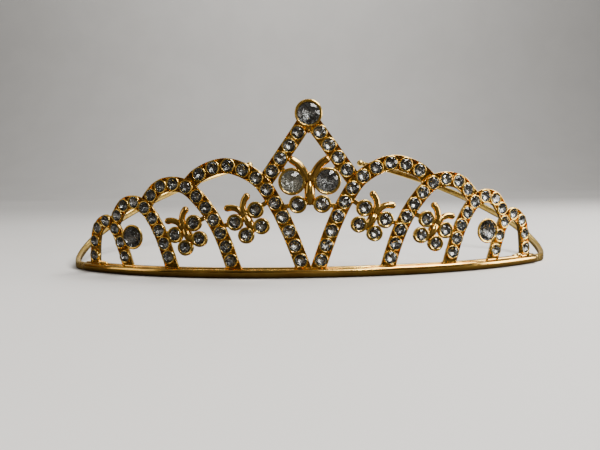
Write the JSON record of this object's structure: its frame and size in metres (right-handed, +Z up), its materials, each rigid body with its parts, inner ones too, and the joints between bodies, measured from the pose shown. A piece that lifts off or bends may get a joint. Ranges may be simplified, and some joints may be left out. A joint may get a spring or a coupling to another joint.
{
  "type": "tiara",
  "caption": "Gold-plated headband tiara: arches set with round clear stones on a curved base bar, stone butterflies between them, and two springy legs with ball tips.",
  "frame": {"origin": "middle of the base bar's flat underside, at the front centre of the face", "axes": "+Z up the face towards the peak, -Y out of the face towards the viewer, +X to the viewer's right; the headband legs run back along +Y"},
  "size_m": [0.1444, 0.1115, 0.0434],
  "materials": {
    "gold_cast": "bright deep-gold plating over a slightly lumpy casting",
    "gold_bar": "polished deep-gold plating with a bright top lip",
    "gold_wire": "smooth gold plating on spring wire",
    "solder": "plated solder, softly rippled and a little paler",
    "crystal": "clear faceted glass with a silver foil back"
  },
  "bodies": {
    "face": {"base_bar": "gold_bar", "arch_left_1": "gold_cast", "arch_left_2": "gold_cast", "arch_left_3": "gold_cast", "arch_left_4": "gold_cast", "arch_right_1": "gold_cast", "arch_right_2": "gold_cast", "arch_right_3": "gold_cast", "arch_right_4": "gold_cast", "peak_bar_left": "gold_cast", "peak_bar_right": "gold_cast", "peak_setting": "gold_cast", "butterfly_centre": "gold_cast", "butterfly_left_1": "gold_cast", "butterfly_left_2": "gold_cast", "butterfly_right_1": "gold_cast", "butterfly_right_2": "gold_cast", "drop_setting_left": "gold_cast", "drop_setting_right": "gold_cast", "lug_left": "solder", "lug_right": "solder", "stones_arch_left_1": "crystal", "stones_arch_left_2": "crystal", "stones_arch_left_3": "crystal", "stones_arch_left_4": "crystal", "stones_arch_right_1": "crystal", "stones_arch_right_2": "crystal", "stones_arch_right_3": "crystal", "stones_arch_right_4": "crystal", "stones_peak_left": "crystal", "stones_peak_right": "crystal", "stone_peak": "crystal", "stone_centre_upper_left": "crystal", "stone_centre_upper_right": "crystal", "stone_centre_lower_left": "crystal", "stone_centre_lower_right": "crystal", "stone_drop_left": "crystal", "stone_drop_right": "crystal", "stone_left_1_upper_inner": "crystal", "stone_left_1_upper_outer": "crystal", "stone_left_1_lower_inner": "crystal", "stone_left_1_lower_outer": "crystal", "stone_left_2_upper_inner": "crystal", "stone_left_2_upper_outer": "crystal", "stone_left_2_lower_inner": "crystal", "stone_left_2_lower_outer": "crystal", "stone_right_1_upper_inner": "crystal", "stone_right_1_upper_outer": "crystal", "stone_right_1_lower_inner": "crystal", "stone_right_1_lower_outer": "crystal", "stone_right_2_upper_inner": "crystal", "stone_right_2_upper_outer": "crystal", "stone_right_2_lower_inner": "crystal", "stone_right_2_lower_outer": "crystal"},
    "left_leg": {"headband_left": "gold_wire", "tip_ball_left": "gold_wire"},
    "right_leg": {"headband_right": "gold_wire", "tip_ball_right": "gold_wire"}
  },
  "joints": [
    {"name": "left_leg_flex", "type": "hinge", "parent": "face", "child": "left_leg", "pos_m": [-0.065, 0.01804, 0.0011], "axis": [0, 0, 1], "range_deg": [-4, 12], "stiffness_Nm_per_rad": 0.6},
    {"name": "right_leg_flex", "type": "hinge", "parent": "face", "child": "right_leg", "pos_m": [0.065, 0.01804, 0.0011], "axis": [0, 0, -1], "range_deg": [-4, 12], "stiffness_Nm_per_rad": 0.6}
  ]
}
